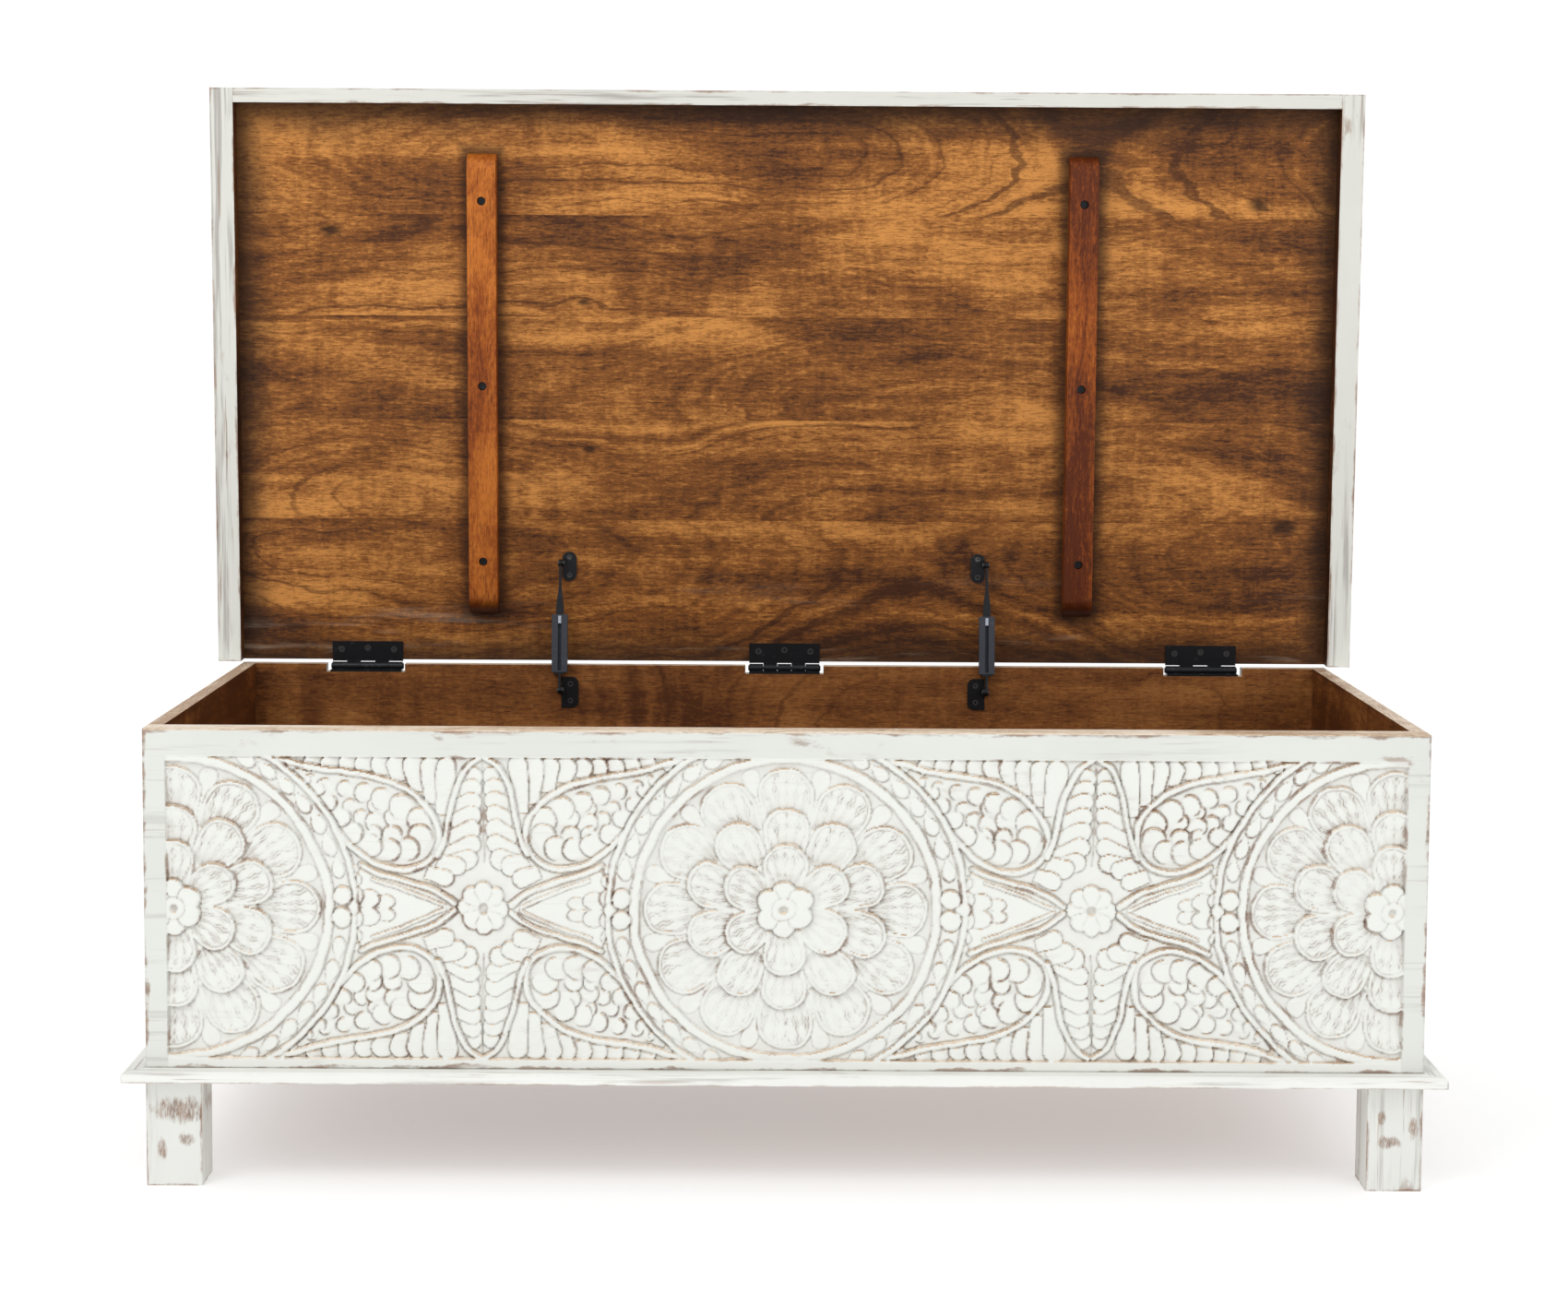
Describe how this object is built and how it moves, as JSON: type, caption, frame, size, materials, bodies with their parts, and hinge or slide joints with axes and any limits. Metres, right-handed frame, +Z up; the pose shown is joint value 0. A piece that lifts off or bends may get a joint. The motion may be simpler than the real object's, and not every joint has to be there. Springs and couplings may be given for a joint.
{
  "type": "storage bench",
  "caption": "Low carved wooden storage chest on four square legs, with a hinged tray lid held open by two sliding stays.",
  "frame": {"origin": "on the floor, under the centre of the chest", "axes": "+Z up, +X along the chest to the right seen from the carved front, +Y to the back"},
  "size_m": [1.2, 0.6343, 1.0185],
  "materials": {
    "whitewashed_wood": "matte whitewash, rubbed through at the edges",
    "brown_wood": "satin stained hardwood",
    "batten_wood": "satin reddish stained hardwood",
    "dowel_wood": "raw wood",
    "black_metal": "satin black",
    "screw_steel": "dull zinc plate",
    "nylon": "translucent nylon"
  },
  "bodies": {
    "carcass": {"front_panel": "whitewashed_wood", "back_panel": "whitewashed_wood", "left_side_panel": "whitewashed_wood", "right_side_panel": "whitewashed_wood", "bottom_board": "brown_wood", "plinth_front": "whitewashed_wood", "plinth_back": "whitewashed_wood", "plinth_left": "whitewashed_wood", "plinth_right": "whitewashed_wood", "leg_front_left": "whitewashed_wood", "leg_front_right": "whitewashed_wood", "leg_back_left": "whitewashed_wood", "leg_back_right": "whitewashed_wood", "leg_screws": "screw_steel", "carcass_dowels": "dowel_wood", "hinge_body_screws": "black_metal", "stay_base_screws": "black_metal", "hinge_left_body_leaf": "black_metal", "hinge_left_pin": "black_metal", "hinge_middle_body_leaf": "black_metal", "hinge_middle_pin": "black_metal", "hinge_right_body_leaf": "black_metal", "hinge_right_pin": "black_metal", "stay_left_base_bracket": "black_metal", "stay_left_base_rivet": "black_metal", "stay_right_base_bracket": "black_metal", "stay_right_base_rivet": "black_metal"},
    "lid": {"lid_board_1": "brown_wood", "lid_board_2": "brown_wood", "lid_board_3": "brown_wood", "lid_board_4": "brown_wood", "lid_board_5": "brown_wood", "lid_rail_front": "whitewashed_wood", "lid_rail_left": "whitewashed_wood", "lid_rail_right": "whitewashed_wood", "lid_batten_left": "batten_wood", "lid_batten_right": "batten_wood", "batten_screws": "screw_steel", "rail_dowels": "dowel_wood", "hinge_lid_screws": "black_metal", "stay_lid_screws": "black_metal", "hinge_left_lid_leaf": "black_metal", "hinge_middle_lid_leaf": "black_metal", "hinge_right_lid_leaf": "black_metal", "stay_left_lid_bracket": "black_metal", "stay_left_lid_rivet": "black_metal", "stay_right_lid_bracket": "black_metal", "stay_right_lid_rivet": "black_metal"},
    "left_stay_housing": {"stay_left_neck": "black_metal", "stay_left_housing": "black_metal"},
    "left_stay_arm": {"stay_left_arm": "black_metal", "stay_left_shoe": "nylon", "stay_left_arm_rivet": "black_metal"},
    "right_stay_housing": {"stay_right_neck": "black_metal", "stay_right_housing": "black_metal"},
    "right_stay_arm": {"stay_right_arm": "black_metal", "stay_right_shoe": "nylon", "stay_right_arm_rivet": "black_metal"}
  },
  "joints": [
    {"name": "lid_hinge", "type": "hinge", "parent": "carcass", "child": "lid", "pos_m": [0, 0.297, 0.411], "axis": [1, 0, 0], "range_deg": [0, 88]},
    {"name": "left_stay_swing", "type": "hinge", "parent": "carcass", "child": "left_stay_housing", "pos_m": [-0.238, 0.269, 0.389], "axis": [1, 0, 0], "range_deg": [0, 84.5]},
    {"name": "left_stay_slide", "type": "slide", "parent": "left_stay_housing", "child": "left_stay_arm", "axis": [0, -0.1232, -0.9924], "range_m": [0, 0.0484]},
    {"name": "right_stay_swing", "type": "hinge", "parent": "carcass", "child": "right_stay_housing", "pos_m": [0.214, 0.269, 0.389], "axis": [1, 0, 0], "range_deg": [0, 84.5]},
    {"name": "right_stay_slide", "type": "slide", "parent": "right_stay_housing", "child": "right_stay_arm", "axis": [0, -0.1232, -0.9924], "range_m": [0, 0.0484]}
  ],
  "couplings": [
    {"joint": "left_stay_swing", "follows": "lid_hinge", "ratio": 0.96},
    {"joint": "left_stay_slide", "follows": "lid_hinge", "m_per_rad": 0.0315},
    {"joint": "right_stay_swing", "follows": "lid_hinge", "ratio": 0.96},
    {"joint": "right_stay_slide", "follows": "lid_hinge", "m_per_rad": 0.0315}
  ]
}
